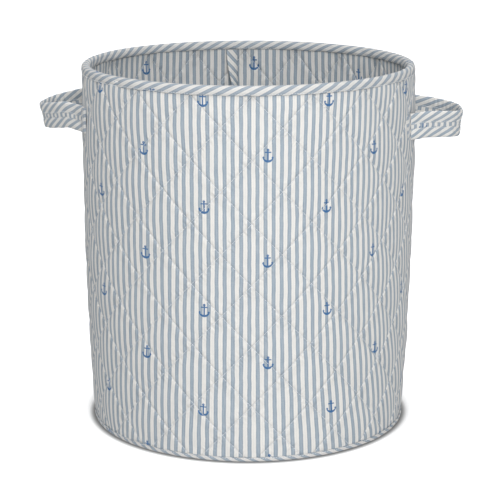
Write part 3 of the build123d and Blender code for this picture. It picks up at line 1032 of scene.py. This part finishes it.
def sewn_ends(handle):
    """The two strap ends, lying flat on the wall with a bartack down each fold."""
    points, faces, tacks, total = [], [], [], 0
    box_low, box_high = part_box(handle.side + "_handle_sewn_ends")
    low, high = box_low.z + 0.4 * MM, box_high.z - 0.4 * MM
    for start, way in ((handle.line[0], 1), (handle.line[-1], -1)):
        fold = start[1]
        widths = np.linspace(-1.5, 13.0, 12) * MM * -way + fold
        rises = np.linspace(low, high, 22)
        side, height = np.meshgrid(widths, rises)
        edge = np.minimum(np.abs(side - widths[0]), np.abs(side - widths[-1]))
        edge = np.minimum(edge, np.minimum(height - low, high - height))
        wall = profile(height) + 0.3 * MM
        uneven = 0.25 * MM * ripple(side * 90, height, 61, b_reach=200)
        lift = 2.0 * MM * np.sqrt(np.clip(edge / (2.2 * MM), 0, 1)) + uneven
        reach = np.sqrt(wall ** 2 - side ** 2)
        face = (reach + lift)[..., None] * handle.outward + side[..., None] * handle.along
        face[..., 2] = height
        back = (reach - 1.2 * MM)[..., None] * handle.outward + side[..., None] * handle.along
        back[..., 2] = height
        rows, columns = side.shape
        points += [face.reshape(-1, 3), back.reshape(-1, 3)]
        j, i = np.meshgrid(np.arange(rows - 1), np.arange(columns - 1), indexing="ij")
        a = (j * columns + i).ravel() + total
        quad = np.column_stack([a, a + 1, a + 1 + columns, a + columns])
        if way > 0:
            quad = quad[:, ::-1]
        far = rows * columns
        border = list(range(columns))
        border += [r * columns + columns - 1 for r in range(1, rows)]
        border += [(rows - 1) * columns + k for k in range(columns - 2, -1, -1)]
        border += [r * columns for r in range(rows - 2, 0, -1)]
        border = np.array(border) + total
        ahead = np.roll(border, -1)
        rim = np.column_stack([border, border + far, ahead + far, ahead])
        if way > 0:
            rim = rim[:, ::-1]
        faces += [quad, quad[:, ::-1] + far, rim]
        total += 2 * far
        line = np.linspace(low + 2.5 * MM, high - 2.5 * MM, 44)
        for row, level in enumerate(line):
            ends = fold - np.array([8.0 + 0.8 * (row % 2), 10.2 + 0.8 * (row % 2)]) * MM * way
            out = np.sqrt((profile(level) + 0.3 * MM) ** 2 - ends ** 2) + 2.0 * MM
            run = out[:, None] * handle.outward + ends[:, None] * handle.along + np.array([0, 0, level])
            tacks.append((run, np.repeat(handle.outward[None], 2, 0)))
    points, faces = np.concatenate(points), np.concatenate(faces)
    along, across = points @ handle.along / MM, points[:, 2] / MM
    turned = bias_cut(along, across, STRAP_SLOPE, STRAP_PERIOD, (0.0, 33.0))
    feet_name = handle.side + "_handle_sewn_feet"
    feet_map = turned[faces].reshape(-1, 2)
    ends = make_piece(feet_name, points, faces, TAPE_CLOTH, feet_map)
    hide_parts(handle.side + "_handle_sewn_ends")
    tack_name = handle.side + "_handle_tack_stitches"
    thread = stitches(tack_name, tacks, 0.15 * MM, **TACK_STITCH)
    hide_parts(handle.side + "_handle_bartacks")
    for piece in (ends, thread):
        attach(piece, "basket")


def build_basket():
    outer = wall_face("wall_quilted_outer", 28, inside=False)
    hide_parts("wall_outer_fabric", "wall_wadding")
    lining = wall_face("wall_quilted_lining", 20, inside=True)
    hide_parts("wall_lining_fabric")
    rim = ring_tape("rim_binding_tape", rim_section, 720, RING_SLOPE, RIM_PERIOD, RIM_SHIFT)
    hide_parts("rim_binding")
    base_tape = ring_tape("base_binding_tape", base_section, 720, RING_SLOPE, BASE_PERIOD, (0.0, 20.0))
    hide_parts("base_binding")
    outside = stitches("wall_quilting_outer", quilting_routes(False), 0.15 * MM)
    within = stitches("wall_quilting_inner", quilting_routes(True), 0.15 * MM)
    rim_roll = WALL_THICKNESS / 2 + TAPE + 0.1 * MM
    rim_middle = float(profile(HEIGHT - rim_roll)) - WALL_THICKNESS / 2
    rim_line = RIM_EDGE + 1.5 * MM
    rim_rings = [ring_route(rim_middle + rim_roll, rim_line, 1, 24),
                 ring_route(rim_middle - rim_roll, rim_line, -1, 25)]
    rim_thread = stitches("rim_tape_stitches", rim_rings, **TAPE_STITCH)
    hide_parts("rim_stitching")
    base_ring = ring_route(float(profile(0)) - 0.1 * MM, BASE_EDGE - 1.3 * MM, 1, 34)
    base_thread = stitches("base_tape_stitches", [base_ring], **TAPE_STITCH)
    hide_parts("base_stitching")
    fin = seam_fin()
    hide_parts("wall_seam_binding")
    lining_level = BASE_TOP - 2.4 * MM
    base_lining = quilted_disc("base_quilted_lining", BASE_RADIUS, lining_level,
                               3.4 * MM, 2.5 * MM, 1, 81)
    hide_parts("base_lining_fabric", "base_wadding")
    underside = quilted_disc("base_quilted_underside", BASE_RADIUS, 2.2 * MM,
                             1.9 * MM, 1.2 * MM, -1, 91)
    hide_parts("base_outer_fabric")
    on_basket = [outer, lining, rim, base_tape, outside, within]
    on_basket += [rim_thread, base_thread, fin, base_lining, underside]
    for piece in on_basket:
        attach(piece, "basket")
    right = Handle("right", 6, RIGHT_LOOP, (2.0, 352.0))
    left = Handle("left", 12, LEFT_LOOP, (5.0, 40.0))
    for handle in (right, left):
        build_handle(handle)
        sewn_ends(handle)


add_camera()
add_studio()
build_basket()
